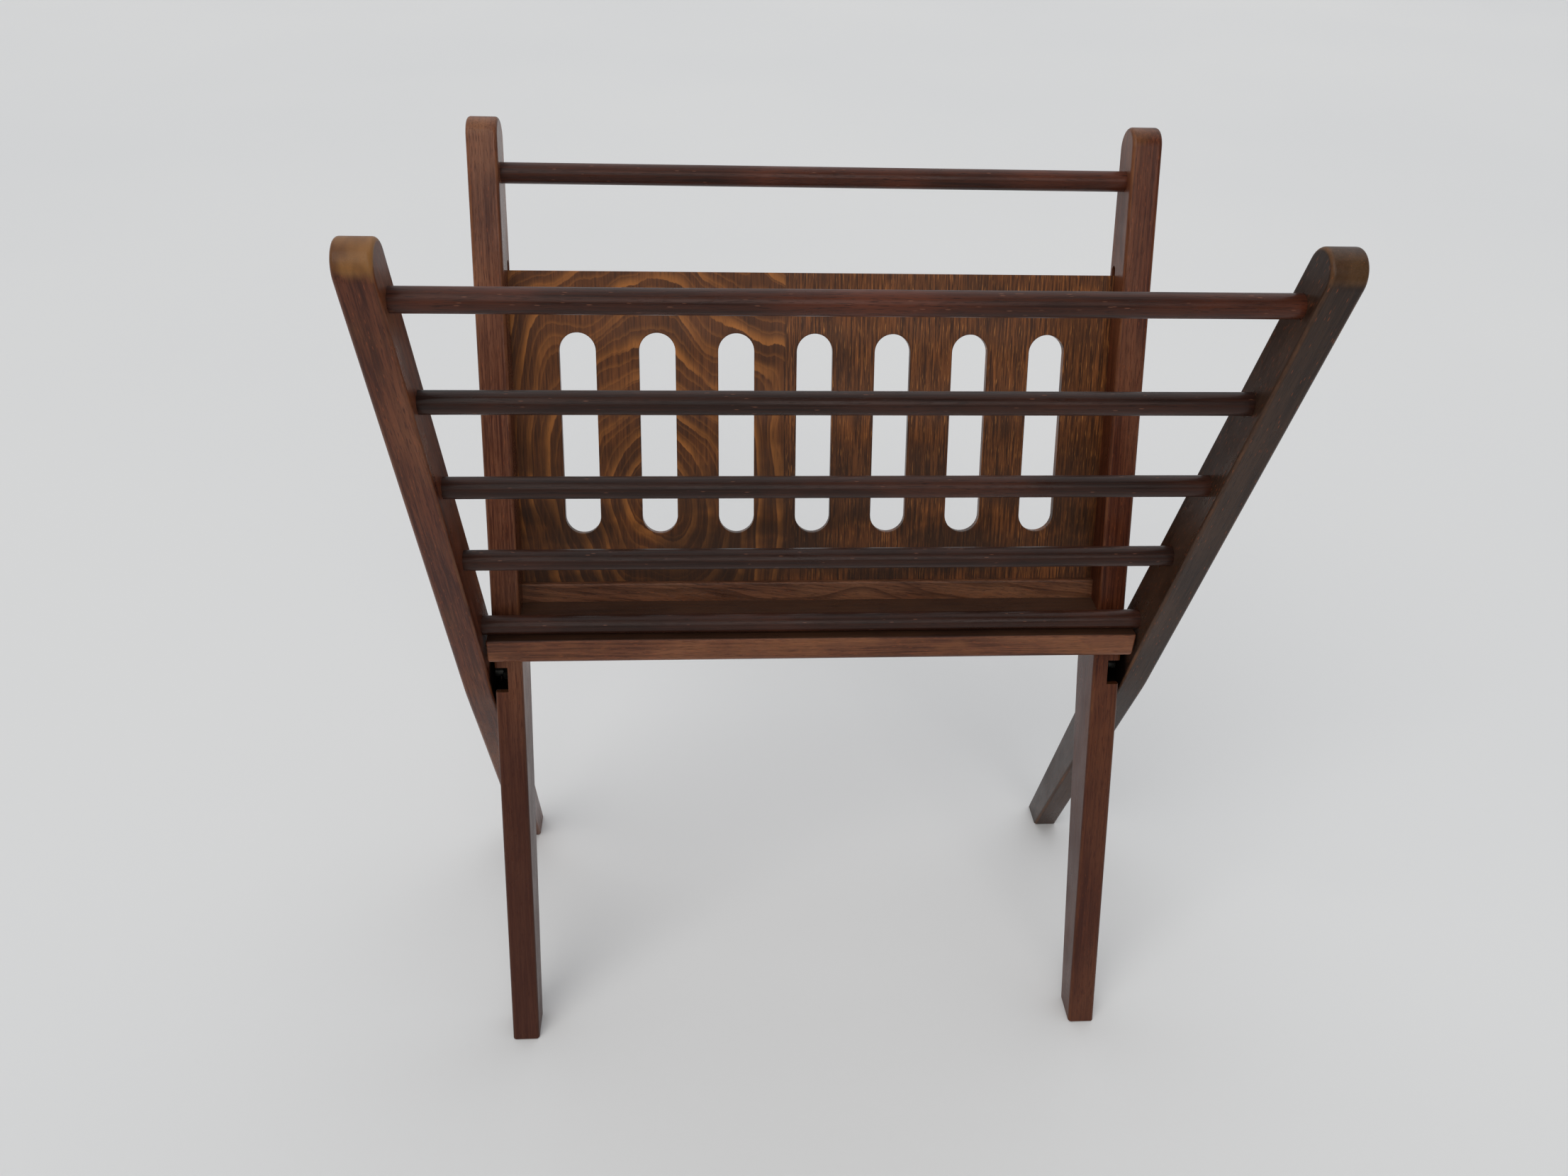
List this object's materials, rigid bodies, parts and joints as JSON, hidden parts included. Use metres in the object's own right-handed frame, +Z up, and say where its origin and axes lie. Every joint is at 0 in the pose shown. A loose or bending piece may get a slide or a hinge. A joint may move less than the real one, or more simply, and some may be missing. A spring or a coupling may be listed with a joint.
{
  "type": "magazine rack",
  "caption": "Free-standing magazine rack of stained wood: crossing frames on a pivot, round rungs in front, a slotted panel behind and a board as the trough's floor.",
  "frame": {"origin": "middle of the rack's bounding box, on the floor", "axes": "+X to the right seen from the front, +Y from the rung side to the panel side, +Z up"},
  "size_m": [0.45, 0.2484, 0.5648],
  "materials": {
    "stained_stile_wood": "semi-gloss red-brown stain on beech, worn lighter along the edges",
    "dark_rung_wood": "semi-gloss dark brown stain on beech dowel",
    "panel_wood": "semi-gloss amber-brown stain with bold upright grain",
    "stained_board_wood": "semi-gloss red-brown stain on beech",
    "plain_beech_pins": "unstained beech dowel",
    "dark_aged_steel": "dull, darkened plating"
  },
  "bodies": {
    "back_frame": {"back_stile_left": "stained_stile_wood", "back_stile_right": "stained_stile_wood", "back_top_rung": "dark_rung_wood", "slotted_panel": "panel_wood", "lower_rail": "stained_board_wood", "floor_board": "stained_board_wood", "rail_pins": "plain_beech_pins", "board_pins": "plain_beech_pins", "pivot_studs": "dark_aged_steel", "jam_nuts": "dark_aged_steel", "pivot_washers": "dark_aged_steel", "pivot_nuts": "dark_aged_steel"},
    "front_frame": {"front_stile_left": "stained_stile_wood", "front_stile_right": "stained_stile_wood", "front_rung_1": "dark_rung_wood", "front_rung_2": "dark_rung_wood", "front_rung_3": "dark_rung_wood", "front_rung_4": "dark_rung_wood", "front_rung_5": "dark_rung_wood"}
  },
  "joints": [
    {"name": "frame_fold", "type": "hinge", "parent": "back_frame", "child": "front_frame", "pos_m": [0, 0.00238, 0.238], "axis": [-1, 0, 0], "range_deg": [0, 14.3]}
  ]
}
